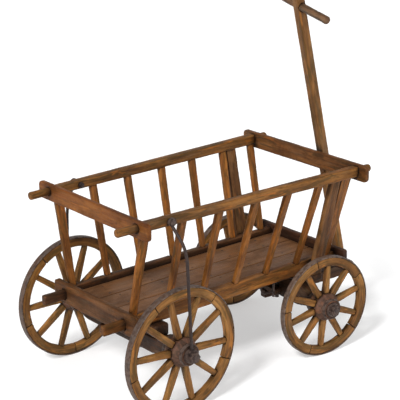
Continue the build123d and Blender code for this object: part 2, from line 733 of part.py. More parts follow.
with BuildPart() as turntable_lower_plate:
    with BuildSketch(FRONT.offset(FRONT_BEAM_TOP)):
        Rectangle(PLATE_W, 2 * PLATE_HALF)
        Circle(KING_R + RUN_GAP, mode=Mode.SUBTRACT)
    extrude(amount=PLATE_T)
save(turntable_lower_plate, "turntable_lower_plate")

# ---------------------------------------------------------------- fork arms, rubbing bar, front beam
with BuildPart() as fork_arms:
    for low_y in (ARM_GAP / 2, -ARM_GAP / 2 - ARM_T):
        with BuildSketch(along(FRONT, low_y + ARM_T)):
            Polygon(
                (ARM_REAR, ARM_LOW),
                (ARM_LOW_FLAT, ARM_LOW),
                (HINGE_AHEAD, HINGE_Z - EYE_R),
                (HINGE_AHEAD, HINGE_Z + EYE_R),
                (ARM_TOP_FLAT, ARM_TOP),
                (ARM_REAR, ARM_TOP),
                align=None,
            )
            with Locations((HINGE_AHEAD, HINGE_Z)):
                Circle(EYE_R)
        extrude(amount=ARM_T)
    with BuildSketch(Plane(origin=HINGE, x_dir=DRAW_DIR, z_dir=HINGE_AXIS)):
        Circle(HINGE_BOLT_R)
    extrude(amount=ARM_GAP + ARM_T * 2, both=True, mode=Mode.SUBTRACT)
save(fork_arms, "fork_arms")

with BuildPart() as sway_bar:
    with BuildSketch(FRONT.offset(ARM_TOP)):
        with Locations((ARM_REAR + SWAY_W / 2 + SWAY_IN, 0)):
            Rectangle(SWAY_W, 2 * SWAY_HALF)
    extrude(amount=SWAY_TOP - ARM_TOP)
    chamfer(sway_bar.edges().filter_by(Axis.Z), SWAY_CORNER)
save(sway_bar, "sway_bar")

with BuildPart() as front_axle_beam:
    beam_half = FRONT_TRACK / 2 - HUB_IN - PLAY - WASHER_T
    flat_half = beam_half * FRONT_BEAM_FLAT
    with BuildSketch(across(FRONT, -BEAM_W / 2)):
        Polygon(
            (-beam_half, FRONT_WHEEL_R - FRONT_BEAM_UNDER),
            (-flat_half, FRONT_BEAM_LOW),
            (flat_half, FRONT_BEAM_LOW),
            (beam_half, FRONT_WHEEL_R - FRONT_BEAM_UNDER),
            (beam_half, FRONT_WHEEL_R + FRONT_BEAM_OVER),
            (flat_half, FRONT_BEAM_TOP),
            (-flat_half, FRONT_BEAM_TOP),
            (-beam_half, FRONT_WHEEL_R + FRONT_BEAM_OVER),
            align=None,
        )
    extrude(amount=BEAM_W)
    add(front_axle_arms.part, mode=Mode.SUBTRACT)
    add(fork_arms.part, mode=Mode.SUBTRACT)
    with BuildSketch(FRONT.offset(FRONT_BEAM_LOW)):
        Circle(KING_R + RUN_GAP)
    extrude(amount=FRONT_BEAM_TOP - FRONT_BEAM_LOW, mode=Mode.SUBTRACT)
save(front_axle_beam, "front_axle_beam")

with BuildPart() as drawbar_bolt:
    bolt_half = FORK_HALF / cos(lean) + NUT_R * tan(lean)
    with BuildSketch(Plane(origin=HINGE, x_dir=DRAW_DIR, z_dir=HINGE_AXIS)):
        Circle(HINGE_BOLT_R)
    extrude(amount=bolt_half + HINGE_NUT_T + HINGE_BOLT_END, both=True)
    for sign in SIDES.values():
        facing = Plane(origin=HINGE, x_dir=DRAW_DIR, z_dir=HINGE_AXIS * sign)
        with BuildSketch(facing.offset(bolt_half)):
            RegularPolygon(HINGE_NUT_R, 6)
        extrude(amount=HINGE_NUT_T)
save(drawbar_bolt, "drawbar_bolt")

# ---------------------------------------------------------------- drawbar
skew = radians(HANDLE_SKEW)
handle_dir = HINGE_AXIS * cos(skew) + DRAW_DIR * sin(skew)
handle_mid = HINGE + DRAW_DIR * HANDLE_AT
with BuildPart() as drawbar_handle:
    with BuildSketch(Plane(origin=handle_mid, x_dir=FRONT.x_dir, z_dir=handle_dir)):
        Circle(HANDLE_R)
    extrude(amount=HANDLE_HALF, both=True)
    fillet(drawbar_handle.edges().filter_by(GeomType.CIRCLE), EDGE)
save(drawbar_handle, "drawbar_handle")


def draw_depth(s):
    """The drawbar's depth, front to back, at distance s from its hinge."""
    return DRAW_FOOT_T + (DRAW_HEAD_T - DRAW_FOOT_T) * s / DRAW_L


with BuildPart() as drawbar_pole:
    with BuildSketch(DRAW):
        RectangleRounded(DRAW_W, DRAW_FOOT_T, DRAW_EDGE)
    with BuildSketch(DRAW.offset(DRAW_L)):
        RectangleRounded(DRAW_W * DRAW_TAPER, DRAW_HEAD_T, DRAW_EDGE)
    loft()
    chamfer(drawbar_pole.faces().sort_by(Axis(HINGE, DRAW_DIR))[-1].edges(), EDGE)
    with BuildSketch(Plane(origin=HINGE, x_dir=DRAW_DIR, z_dir=HINGE_AXIS)):
        Circle(DRAW_EYE_R)
    extrude(amount=DRAW_W / 2, both=True)
    with BuildSketch(Plane(origin=HINGE, x_dir=DRAW_DIR, z_dir=HINGE_AXIS)):
        Circle(HINGE_BOLT_R + RUN_GAP)
    extrude(amount=DRAW_W, both=True, mode=Mode.SUBTRACT)
    add(drawbar_handle.part, mode=Mode.SUBTRACT)
save(drawbar_pole, "drawbar_pole")

with BuildPart() as drawbar_ferrule:
    with BuildSketch(DRAW.offset(FERRULE_AT)):
        RectangleRounded(DRAW_W + 2 * FERRULE_T, draw_depth(FERRULE_AT) + 2 * FERRULE_T, FERRULE_EDGE)
    extrude(amount=FERRULE_W)
    add(drawbar_pole.part, mode=Mode.SUBTRACT)
save(drawbar_ferrule, "drawbar_ferrule")


# ---------------------------------------------------------------- rear stays and rail hook
# Each stay is a bent iron rod from an eye on the top rail, out and down to an eye on the axle arm.
with BuildPart() as rear_stays:
    eye_y = rail_y(STAY_EYE_X) + RAIL_SQ / 2 + 2 * PLAY + STAY_EYE_T / 2
    start_out, start_down = STAY_START
    for side, sign in SIDES.items():
        elbow_y, elbow_z = STAY_ELBOW[side]
        knee_y, knee_z = STAY_KNEE[side]
        upper = point(BED, STAY_EYE_X, sign * eye_y, STAY_EYE_Z)
        top = point(BED, STAY_EYE_X, sign * eye_y, STAY_EYE_Z - STAY_EYE_R + STAY_LAP)
        elbow = point(BED, STAY_EYE_X, sign * elbow_y, elbow_z)
        knee = point(BED, 0, sign * knee_y, knee_z)
        foot = point(BED, 0, sign * STAY_Y, REAR_WHEEL_R + STAY_FOOT_UP)
        leave = BED.y_dir * sign * start_out - BED.z_dir * start_down
        facing = Plane(origin=upper, x_dir=BED.x_dir, z_dir=BED.y_dir * sign)
        axle = axle_plane(BED, 2 * STAY_Y - STAY_FOOT_T, REAR_WHEEL_R, sign)
        with BuildLine() as path:
            Spline(top, elbow, knee, tangents=[leave, foot - knee])
            Line(knee, foot)
        with BuildSketch(Plane(origin=top, z_dir=path.line % 0)):
            Circle(STAY_R)
        sweep(path=path.line)
        with BuildSketch(facing.offset(-STAY_EYE_T / 2)):
            Circle(STAY_EYE_R)
        extrude(amount=STAY_EYE_T)
        with BuildSketch(axle):
            Circle(STAY_FOOT_R)
        extrude(amount=STAY_FOOT_T)
        with BuildSketch(facing.offset(-STAY_EYE_T)):
            Circle(BOLT_R)
        extrude(amount=STAY_EYE_T * 2, mode=Mode.SUBTRACT)
        with BuildSketch(axle.offset(-STAY_FOOT_T)):
            Circle(AXLE_R)
        extrude(amount=STAY_FOOT_T * 3, mode=Mode.SUBTRACT)
save(rear_stays, "rear_stays")

with BuildPart() as rail_hook:
    hook_plane = along(BED, -SILL_Y)
    with BuildLine(hook_plane) as hook_path:
        FilletPolyline(
            (HOOK_REAR, SILL_LOW),
            (HOOK_REAR, SILL_LOW - HOOK_DROP),
            (HOOK_PIN, SILL_LOW - HOOK_DROP),
            radius=HOOK_BEND,
        )
    with BuildSketch(BED.offset(SILL_LOW)):
        with Locations((HOOK_REAR, -SILL_Y)):
            Circle(HOOK_R)
    sweep(path=hook_path.line)
    with BuildSketch(BED.offset(SILL_LOW - HOOK_PIN_DROP)):
        with Locations((HOOK_PIN, -SILL_Y)):
            Circle(HOOK_PIN_R)
    extrude(amount=HOOK_PIN_DROP)
save(rail_hook, "rail_hook")
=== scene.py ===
"""Looks for the ladder-sided handcart: worn stained wood, rusty forged iron and grey steel tyres."""
import json
from math import cos, radians, sin

import bmesh
import bpy
import numpy as np
from mathutils import Matrix, Vector, noise


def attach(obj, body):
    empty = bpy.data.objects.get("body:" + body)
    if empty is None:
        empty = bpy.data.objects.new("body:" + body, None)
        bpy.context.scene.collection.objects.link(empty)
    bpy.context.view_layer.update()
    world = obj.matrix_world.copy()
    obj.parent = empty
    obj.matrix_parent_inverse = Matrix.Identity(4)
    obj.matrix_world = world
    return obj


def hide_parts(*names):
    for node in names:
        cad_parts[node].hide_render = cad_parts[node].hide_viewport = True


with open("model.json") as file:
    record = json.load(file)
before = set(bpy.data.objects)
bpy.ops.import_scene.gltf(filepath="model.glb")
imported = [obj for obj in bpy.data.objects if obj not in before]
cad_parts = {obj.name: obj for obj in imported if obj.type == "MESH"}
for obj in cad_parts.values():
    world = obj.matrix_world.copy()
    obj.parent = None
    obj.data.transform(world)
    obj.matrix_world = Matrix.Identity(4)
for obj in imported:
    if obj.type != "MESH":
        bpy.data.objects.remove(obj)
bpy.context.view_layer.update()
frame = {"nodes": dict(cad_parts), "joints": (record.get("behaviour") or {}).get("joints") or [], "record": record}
nodes = frame["nodes"]
WHEELS = ("rear_left", "rear_right", "front_left", "front_right")
slot_of = {s["node"]: s["material_slot"] for s in frame["record"]["subparts"]}
body_of = {n: body for body, names in frame["record"]["behaviour"]["bodies"].items() for n in names}
joints = {j["name"]: j for j in frame["joints"]}

# ---------------------------------------------------------------- camera
REAR_AXLE_X = joints["rear_left_spin"]["pos_m"][0]
CAM_TURN, CAM_TILT, CAM_ROLL = radians(-39.38), radians(18.62), radians(-0.51)
CAM_LENS = 127.6
CAM_SENSOR = 36.0
CAM_REACH = 50
# From the floor point under the middle of the rear axle, in metres
CAM_FROM_AXLE = Vector((-2.3685, -3.2703, 1.9538))
CAM_SHIFT = (-0.0059, -0.0006)


def make_camera():
    """The camera looks past the cart from its right rear quarter, a little from above."""
    data = bpy.data.cameras.new("camera")
    data.lens = CAM_LENS
    data.sensor_width = CAM_SENSOR
    data.shift_x, data.shift_y = CAM_SHIFT
    data.clip_end = CAM_REACH
    ahead = Vector((-sin(CAM_TURN) * cos(CAM_TILT), cos(CAM_TURN) * cos(CAM_TILT), -sin(CAM_TILT)))
    right = Vector((cos(CAM_TURN), sin(CAM_TURN), 0))
    up = right.cross(ahead)
    rolled_right = right * cos(CAM_ROLL) + up * sin(CAM_ROLL)
    rolled_up = up * cos(CAM_ROLL) - right * sin(CAM_ROLL)
    place = Matrix((rolled_right, rolled_up, -ahead)).transposed().to_4x4()
    place.translation = CAM_FROM_AXLE + Vector((REAR_AXLE_X, 0, 0))
    camera = bpy.data.objects.new("camera", data)
    camera.matrix_world = place
    bpy.context.scene.collection.objects.link(camera)
    bpy.context.scene.camera = camera


# ---------------------------------------------------------------- material helpers
# Reach and samples of the ambient occlusion that sets where painted shade darkens the wood in corners and joints
CORNER_REACH = 0.03
CORNER_SAMPLES = 6


class Shader:
    """A small builder for one procedural material."""

    def __init__(self, name):
        self.material = bpy.data.materials.new(name)
        self.material.use_nodes = True
        self.tree = self.material.node_tree
        self.bsdf = self.tree.nodes["Principled BSDF"]

    def node(self, kind, settings=None, **inputs):
        """Add a node; its inputs are outputs or values, keyed by a socket's name, or by i and its number."""
        made = self.tree.nodes.new(kind)
        for key, value in (settings or {}).items():
            setattr(made, key, value)
        for key, value in inputs.items():
            by_number = key[0] == "i" and key[1:].isdigit()
            self.feed(made.inputs[int(key[1:]) if by_number else key], value)
        return made

    def feed(self, socket, value):
        """Link an output to the socket, or set the socket's own value."""
        if isinstance(value, bpy.types.NodeSocket):
            self.tree.links.new(value, socket)
        else:
            socket.default_value = value

    def surface(self, **values):
        """Feed sockets of the main shader; an underscore stands for a space."""
        for key, value in values.items():
            self.feed(self.bsdf.inputs[key.replace("_", " ")], value)

    def maths(self, operation, first, second):
        """One arithmetic step."""
        return self.node("ShaderNodeMath", {"operation": operation}, i0=first, i1=second).outputs[0]

    def cloud(self, vector, scale, detail, rough=0.55, twist=0.0):
        """An even noise value."""
        made = self.node("ShaderNodeTexNoise", Vector=vector, Scale=scale, Detail=detail)
        self.feed(made.inputs["Roughness"], rough)
        self.feed(made.inputs["Distortion"], twist)
        return made.outputs["Fac"]

    def streaks(self, grain, along, across, *character):
        """A noise value drawn out along the grain; character is cloud's detail, roughness and twist."""
        stretched = self.node("ShaderNodeMapping", Vector=grain, Scale=(along, across, across)).outputs[0]
        return self.cloud(stretched, 1.0, *character)

    def ramp(self, value, *stops):
        """A colour ramp from (position, colour) stops."""
        made = self.node("ShaderNodeValToRGB", Fac=value)
        ramp = made.color_ramp
        while len(ramp.elements) < len(stops):
            ramp.elements.new(0.5)
        for element, (position, colour) in zip(ramp.elements, stops):
            element.position = position
            element.color = rgba(colour)
        return made.outputs["Color"]

    def mask(self, value, low, high):
        """A value stretched to 0..1 between low and high."""
        made = self.node("ShaderNodeMapRange", {"interpolation_type": "SMOOTHSTEP"}, Value=value)
        made.inputs["From Min"].default_value = low
        made.inputs["From Max"].default_value = high
        return made.outputs[0]

    def mix(self, share, first, second):
        """One colour laid over another."""
        made = self.node("ShaderNodeMix", {"data_type": "RGBA"}, i0=share)
        self.feed(made.inputs[6], first)
        self.feed(made.inputs[7], second)
        return made.outputs[2]

    def laid(self, colour, cover, share, tint):
        """A colour with a tint laid over it where the cover shows, as thickly as the share says."""
        return self.mix(self.maths("MULTIPLY", cover, share), colour, rgba(tint))

    def bump(self, height, strength, distance, under=None):
        """A bump from a height, over an earlier bump."""
        made = self.node("ShaderNodeBump", Height=height, Strength=strength, Distance=distance)
        if under is not None:
            self.feed(made.inputs["Normal"], under)
        return made.outputs[0]

    def pointiness(self):
        """How sharply the surface turns: over 0.5 on outer edges."""
        return self.node("ShaderNodeNewGeometry").outputs["Pointiness"]

    def openness(self):
        """How open the surface is: 1 in the open, less in corners and joints."""
        shade = self.node("ShaderNodeAmbientOcclusion", {"samples": CORNER_SAMPLES}, Distance=CORNER_REACH)
        return shade.outputs["AO"]


def rgba(colour):
    """A linear colour with full alpha."""
    return (*colour, 1.0)


def scaled(colour, share, lift=0.0):
    """A colour with each part scaled, and then lifted; share is one number or one for each part."""
    shares = share if isinstance(share, tuple) else (share,) * 3
    return tuple(c * f + lift for c, f in zip(colour, shares))


# ---------------------------------------------------------------- wood
# Noises drawn out along the grain: fineness along it and across it, detail, roughness, twist
WANDER = (5.0, 34.0, 4.0, 0.6, 0.6)
BANDS = (3.0, 130.0, 4.0, 0.55, 1.6)
FIBRES = (16.0, 640.0, 5.0, 0.65)
PORES = (42.0, 900.0, 2.0, 0.5)
OLIVE = (11.0, 62.0, 3.0, 0.6, 0.8)
AMBER = (10.4, 62.4, 3.0, 0.6, 0.5)
WEATHERING = (7.0, 45.0, 3.0)
CRACKS = (2.6, 190.0, 1.0)
# Even noises: fineness, detail, roughness, twist
BLOTCHES = (9.0, 5.0, 0.65, 0.5)
CHIPS = (60.0, 4.0, 0.7)
SWELLS = (45.0, 3.0)
# Where each of them starts to show and where it shows fully
OLIVE_SHOWS = (0.48, 0.64)
AMBER_SHOWS = (0.56, 0.70)
BLOTCHES_SHOW = (0.46, 0.66)
PORES_SHOW = (0.60, 0.72)
WEATHERING_SHOWS = (0.54, 0.74)
CHIPS_SHOW = (0.50, 0.64)
CRACKS_SHOW = (0.71, 0.76)
WOOD_EDGES_SHOW = (0.512, 0.57)
# painted shade: where the ambient-occlusion openness starts to darken the wood, and where it darkens it fully
PAINTED_SHADE_SHOWS = (0.93, 0.42)
# The tone: each noise's part in it, where the middle colour stands with no figure and how far a figure of 1
# raises it, and how far below and above it the deep and light colours stand
WANDER_PART, BANDS_PART, FIBRES_PART = 0.62, 0.26, 0.14
PLAIN_MIDDLE, FIGURE_MIDDLE = 0.31, 0.20
REACH_DOWN, REACH_UP = 0.13, 0.14
# Tints, as shares of the wood's own tones, and how thickly they lie
OLIVE_TINT = (0.40, 0.54, 0.54)
AMBER_TINT = (1.12, 0.86, 0.55)
BLOTCH_TINT, BLOTCH_LIES = 0.40, 0.50
PORE_TINT, PORE_LIES = 0.42, 0.5
EDGE_TINT, EDGE_LIES = 0.7, 0.35
RUBBED_TINT, RUBBED_LIES = 1.30, 0.6
WEATHERED_COLOUR = (0.150, 0.098, 0.055)
# painted shade: the near-black laid into corners, joints and undersides
PAINTED_SHADE_COLOUR = (0.010, 0.005, 0.003)
# Roughness that the fibres and the blotches add, and half the fibres' part
FIBRES_ROUGHEN, BLOTCHES_ROUGHEN, FIBRES_HALF = 0.26, 0.12, 0.13
WOOD_SPECULAR = 0.14
# Bumps: strength, and depth in metres
CRACK_BUMP = (0.8, 0.0012)
PORE_BUMP = (0.5, 0.0004)
FIBRE_BUMP = (0.4, 0.0005)
SWELL_BUMP = (0.35, 0.0018)


def wood(name, deep, middle, light, gloss=0.50, weather=0.30, figure=1.0, corner_shade=0.9, streak=0.75):
    """Stained wood: long grain, olive and orange streaks, painted shade darkening the corners and joints, and
    rubbed, paler edges.

    The piece's own "grain" attribute gives each point's place along, across and through the wood.
    Gloss is the middle roughness, and the other numbers say how strongly each effect shows.
    """
    s = Shader(name)
    grain = s.node("ShaderNodeAttribute", {"attribute_name": "grain"}).outputs["Vector"]
    place = s.node("ShaderNodeTexCoord").outputs["Object"]
    fibres = s.streaks(grain, *FIBRES)
    wander = s.maths("MULTIPLY", s.streaks(grain, *WANDER), WANDER_PART)
    tone = s.maths("ADD", wander, s.maths("MULTIPLY", s.streaks(grain, *BANDS), BANDS_PART * figure))
    tone = s.maths("ADD", tone, s.maths("MULTIPLY", fibres, FIBRES_PART * figure))
    centre = PLAIN_MIDDLE + FIGURE_MIDDLE * figure
    colour = s.ramp(tone, (centre - REACH_DOWN, deep), (centre, middle), (centre + REACH_UP, light))

    olive = s.mask(s.streaks(grain, *OLIVE), *OLIVE_SHOWS)
    colour = s.laid(colour, olive, streak, scaled(middle, OLIVE_TINT))
    amber = s.mask(s.streaks(grain, *AMBER), *AMBER_SHOWS)
    colour = s.laid(colour, amber, streak, scaled(light, AMBER_TINT))
    blotch = s.mask(s.cloud(place, *BLOTCHES), *BLOTCHES_SHOW)
    colour = s.laid(colour, blotch, BLOTCH_LIES, scaled(middle, BLOTCH_TINT))
    pores = s.mask(s.streaks(grain, *PORES), *PORES_SHOW)
    colour = s.laid(colour, pores, PORE_LIES, scaled(deep, PORE_TINT))
    weathered = s.mask(s.streaks(grain, *WEATHERING), *WEATHERING_SHOWS)
    colour = s.laid(colour, weathered, weather, WEATHERED_COLOUR)
    edge = s.mask(s.pointiness(), *WOOD_EDGES_SHOW)
    colour = s.laid(colour, edge, EDGE_LIES, scaled(deep, EDGE_TINT))
    rubbed = s.maths("MULTIPLY", edge, s.mask(s.cloud(place, *CHIPS), *CHIPS_SHOW))
    colour = s.laid(colour, rubbed, RUBBED_LIES, scaled(light, RUBBED_TINT))
    # painted shade: the wood is darkened where ambient occlusion finds corners, joints and undersides, as strongly
    # as the corner_shade number says
    shaded_corners = s.mask(s.openness(), *PAINTED_SHADE_SHOWS)
    colour = s.laid(colour, shaded_corners, corner_shade, PAINTED_SHADE_COLOUR)

    rough = s.maths("ADD", s.maths("MULTIPLY", fibres, FIBRES_ROUGHEN), gloss - FIBRES_HALF)
    rough = s.maths("ADD", rough, s.maths("MULTIPLY", blotch, BLOTCHES_ROUGHEN))
    cracks = s.mask(s.streaks(grain, *CRACKS), *CRACKS_SHOW)
    cut = s.bump(s.maths("MULTIPLY", cracks, -1.0), *CRACK_BUMP)
    cut = s.bump(s.maths("MULTIPLY", pores, -1.0), *PORE_BUMP, cut)
    cut = s.bump(fibres, *FIBRE_BUMP, cut)
    cut = s.bump(s.cloud(place, *SWELLS), *SWELL_BUMP, cut)
    s.surface(Base_Color=colour, Roughness=rough)
    s.surface(Specular_IOR_Level=WOOD_SPECULAR, Normal=cut)
    return s.material


# ---------------------------------------------------------------- iron
# Even noises: fineness, detail, roughness, twist
PITS = (420.0, 4.0, 0.6)
RUST_BLOOM = (38.0, 6.0, 0.68, 0.4)
FLECKS = (210.0, 3.0, 0.7)
RUST_TONES = (120.0, 3.0)
RUBS = (90.0, 3.0)
HAMMERING = (70.0, 4.0)
# Where each of them starts to show and where it shows fully
FLECKS_SHOW = (0.48, 0.66)
RUBS_SHOW = (0.35, 0.6)
IRON_EDGES_SHOW = (0.51, 0.60)
# The same for rust, and how far a rust share of 1 lowers each
RUST_SHOWS = (0.62, 0.72)
RUST_LOWERS = (0.28, 0.18)
# Tints, as shares of the iron's own colours, and how thickly they lie
FLECK_TINT, FLECK_LIFT, FLECK_LIES = 2.1, 0.012, 0.5
OLD_RUST_TINT = 0.5
RUST_LIES = 0.85
POLISH_LIES = 0.8
RUST_DULLS = 0.8
IRON_ROUGHNESS, BLOOM_ROUGHENS = 0.36, 0.35
IRON_SPECULAR = 0.3
# Bumps: strength, and depth in metres
PIT_BUMP = (0.5, 0.0007)
HAMMER_BUMP = (0.5, 0.0016)


def iron(name, dark, rust, rust_share, metal, polish=None):
    """Forged iron with pitting and rust, and brighter where it has rubbed if it has a polish colour."""
    s = Shader(name)
    place = s.node("ShaderNodeTexCoord").outputs["Object"]
    bloom = s.cloud(place, *RUST_BLOOM)
    rusted = s.mask(bloom, *(start - lower * rust_share for start, lower in zip(RUST_SHOWS, RUST_LOWERS)))
    flecks = s.mask(s.cloud(place, *FLECKS), *FLECKS_SHOW)
    colour = s.laid(rgba(dark), flecks, FLECK_LIES, scaled(dark, FLECK_TINT, FLECK_LIFT))
    rust_tone = s.mix(s.cloud(place, *RUST_TONES), rgba(scaled(rust, OLD_RUST_TINT)), rgba(rust))
    colour = s.mix(s.maths("MULTIPLY", rusted, RUST_LIES), colour, rust_tone)
    if polish is not None:
        edge = s.mask(s.pointiness(), *IRON_EDGES_SHOW)
        rubbed = s.maths("MULTIPLY", edge, s.mask(s.cloud(place, *RUBS), *RUBS_SHOW))
        colour = s.laid(colour, rubbed, POLISH_LIES, polish)

    metallic = s.maths("SUBTRACT", metal, s.maths("MULTIPLY", rusted, metal * RUST_DULLS))
    rough = s.maths("ADD", s.maths("MULTIPLY", bloom, BLOOM_ROUGHENS), IRON_ROUGHNESS)
    cut = s.bump(s.cloud(place, *PITS), *PIT_BUMP)
    cut = s.bump(s.cloud(place, *HAMMERING), *HAMMER_BUMP, cut)
    s.surface(Base_Color=colour, Metallic=metallic, Roughness=rough)
    s.surface(Specular_IOR_Level=IRON_SPECULAR, Normal=cut)
    return s.material


# ---------------------------------------------------------------- finishes
# Deep, middle and light tone of each wood. The last six are finishes of single pieces; three of them, for the far
# sill, the front bottom board and the front stakes, are darker copies of the wood that paint the shade on those
# pieces.
WOODS = {
    "rail_wood": ((0.044, 0.017, 0.005), (0.140, 0.056, 0.012), (0.26, 0.112, 0.026)),
    "slat_wood": ((0.060, 0.019, 0.004), (0.185, 0.062, 0.010), (0.31, 0.120, 0.022)),
    "board_wood": ((0.070, 0.020, 0.004), (0.150, 0.047, 0.008), (0.23, 0.082, 0.015)),
    "floor_wood": ((0.098, 0.042, 0.017), (0.142, 0.063, 0.026), (0.18, 0.086, 0.037)),
    "gear_wood": ((0.020, 0.008, 0.004), (0.046, 0.019, 0.008), (0.080, 0.036, 0.015)),
    "wheel_wood": ((0.050, 0.020, 0.006), (0.190, 0.080, 0.019), (0.33, 0.160, 0.044)),
    "hub_wood": ((0.046, 0.022, 0.014), (0.092, 0.043, 0.027), (0.15, 0.076, 0.049)),
    "pole_wood": ((0.068, 0.028, 0.008), (0.175, 0.076, 0.021), (0.28, 0.140, 0.044)),
    "handle_wood": ((0.045, 0.022, 0.010), (0.105, 0.052, 0.025), (0.18, 0.098, 0.050)),
    # painted shade: a darker copy of the sill wood for the far sill, seen on its shaded inner side
    "shaded_sill": ((0.022, 0.009, 0.004), (0.062, 0.024, 0.009), (0.13, 0.052, 0.018)),
    "outer_sill": ((0.046, 0.016, 0.004), (0.135, 0.048, 0.009), (0.27, 0.105, 0.020)),
    "dark_board": ((0.046, 0.016, 0.005), (0.112, 0.041, 0.011), (0.19, 0.076, 0.021)),
    # painted shade: a much darker copy for the front bottom board, seen on its shaded inner face
    "shaded_low_front": ((0.018, 0.007, 0.004), (0.042, 0.016, 0.008), (0.080, 0.032, 0.014)),
    "low_rear": ((0.036, 0.013, 0.004), (0.085, 0.033, 0.010), (0.14, 0.060, 0.020)),
    # painted shade: a darker copy of the rail wood for the front stakes, which stand in shadow
    "shaded_post_wood": ((0.040, 0.014, 0.004), (0.105, 0.042, 0.012), (0.20, 0.090, 0.028)),
}
# What sets a wood apart from wood()'s usual strengths
WOOD_HABITS = {
    "board_wood": {"weather": 0.08, "streak": 0.35},
    # the floor takes less painted shade in its corners and joints
    "floor_wood": {"gloss": 0.36, "figure": 0.3, "corner_shade": 0.5, "streak": 0.30},
    "hub_wood": {"figure": 0.5},
}
# Dark colour, rust colour, rust share, metal share and, where it rubs, polish colour of each iron
IRONS = {
    "tyre_iron": ((0.034, 0.021, 0.016), (0.080, 0.035, 0.017), 0.75, 0.10, (0.17, 0.120, 0.092)),
    "band_iron": ((0.034, 0.021, 0.017), (0.075, 0.030, 0.015), 0.55, 0.2, (0.11, 0.076, 0.060)),
    "forged_iron": ((0.020, 0.012, 0.010), (0.050, 0.020, 0.012), 0.5, 0.15, (0.09, 0.060, 0.048)),
    "nail_iron": ((0.035, 0.026, 0.022), (0.085, 0.035, 0.018), 0.5, 0.3),
}
OWN_FINISH = {
    # The far sill, the front bottom board and the front stakes take darker copies of their wood, as painted shade
    "bottom_rail_left": "shaded_sill",
    "bottom_rail_right": "outer_sill",
    "bottom_board_front": "shaded_low_front",
    "bottom_board_rear": "low_rear",
    "top_board_front": "dark_board",
    "front_stakes": "shaded_post_wood",
}
FINISHES = {name: wood(name, *tones, **WOOD_HABITS.get(name, {})) for name, tones in WOODS.items()}
FINISHES.update({name: iron(name, *look) for name, look in IRONS.items()})


def finish_of(node):
    """A node's own finish where it has one, or else its slot's."""
    return FINISHES[OWN_FINISH.get(node, slot_of[node])]


# ---------------------------------------------------------------- hand-worked copies of the frame's pieces
WIDE = ("floor_boards", "front_axle_beam", "rear_axle_beam", "front_bolster", "rear_bolster")
CELL, WIDE_CELL = 0.0024, 0.0035
WELD = 1e-6
SOFTEN_ROUNDS, SOFTEN_FACTOR = 2, 0.5
# Dents: fineness of the hollows and depth in metres, how much finer the knocks are and the part of each, and
# the depth that stands all over and the most that is reached, both as shares of the depth
DENT_SCALE, DENT_DEPTH = 22.0, 0.0008
KNOCK_SCALE, HOLLOW_PART, KNOCK_PART = 5.3, 0.62, 0.38
DENT_BASE, DENT_CAP = 0.5, 1.3
# How far one unit of a part's seed moves it through the dents and through the grain, along each axis
DENT_STEPS = (3.7, 1.3, 2.1)
GRAIN_STEPS = (1.37, 0.71, 0.43)


def principal_axes(points):
    """Axes of a piece by its spread, one in each row: the longest first."""
    centred = points - points.mean(0)
    values, vectors = np.linalg.eigh(centred.T @ centred)
    return vectors[:, np.argsort(-values)].T


def loose_parts(mesh):
    """The vertex numbers of each stretch of mesh that isn't joined to the rest, in order of place."""
    count = len(mesh.vertices)
    parent = np.arange(count)

    def root(i):
        """The vertex number that stands for this vertex's group."""
        while parent[i] != i:
            parent[i] = parent[parent[i]]
            i = parent[i]
        return i

    for edge in mesh.edges:
        a, b = root(edge.vertices[0]), root(edge.vertices[1])
        if a != b:
            parent[a] = b
    groups = {}
    for i in range(count):
        groups.setdefault(root(i), []).append(i)
    return sorted(groups.values(), key=lambda g: tuple(round(c, 4) for c in mesh.vertices[g[0]].co))


def merged_copy(node):
    """A CAD node's mesh, copied with its doubled corners welded."""
    build = bmesh.new()
    build.from_mesh(nodes[node].data)
    bmesh.ops.remove_doubles(build, verts=build.verts, dist=WELD)
    mesh = bpy.data.meshes.new("copy")
    build.to_mesh(mesh)
    build.free()
    return mesh


def part_mesh(mesh, group):
    """One loose part as its own mesh."""
    chosen = set(group)
    build = bmesh.new()
    build.from_mesh(mesh)
    build.verts.ensure_lookup_table()
    bmesh.ops.delete(build, geom=[v for v in build.verts if v.index not in chosen], context="VERTS")
    part = bpy.data.meshes.new("part")
    build.to_mesh(part)
    build.free()
    return part


def remeshed(mesh, voxel):
    """A mesh rebuilt from even small cells, with its edges softened."""
    carrier = bpy.data.objects.new("carrier", mesh)
    bpy.context.scene.collection.objects.link(carrier)
    remesh = carrier.modifiers.new("cells", "REMESH")
    remesh.mode = "VOXEL"
    remesh.voxel_size = voxel
    remesh.adaptivity = 0.0
    smooth = carrier.modifiers.new("soften", "CORRECTIVE_SMOOTH")
    smooth.iterations = SOFTEN_ROUNDS
    smooth.factor = SOFTEN_FACTOR
    smooth.use_only_smooth = True
    graph = bpy.context.evaluated_depsgraph_get()
    result = bpy.data.meshes.new_from_object(carrier.evaluated_get(graph))
    bpy.data.objects.remove(carrier)
    return result


def vectors_of(items, name):
    """One vector property of all the items, one in each row."""
    flat = np.empty(len(items) * 3, np.float32)
    items.foreach_get(name, flat)
    return flat.reshape(-1, 3).astype(float)


def dents(points, seed):
    """Inward depths at the points: broad hollows with finer knocks in them."""
    shift = Vector([seed * step for step in DENT_STEPS])
    out = np.empty(len(points))
    for i, point in enumerate(points):
        spot = Vector(point) + shift
        hollow = noise.noise(spot * DENT_SCALE)
        knock = noise.noise(spot * DENT_SCALE * KNOCK_SCALE)
        out[i] = HOLLOW_PART * hollow + KNOCK_PART * knock
    return DENT_DEPTH * np.clip(DENT_BASE + out, 0, DENT_CAP)


def wheel_of(node):
    """The wheel that a node belongs to, if any."""
    return next((w for w in WHEELS if node.startswith(w)), None)


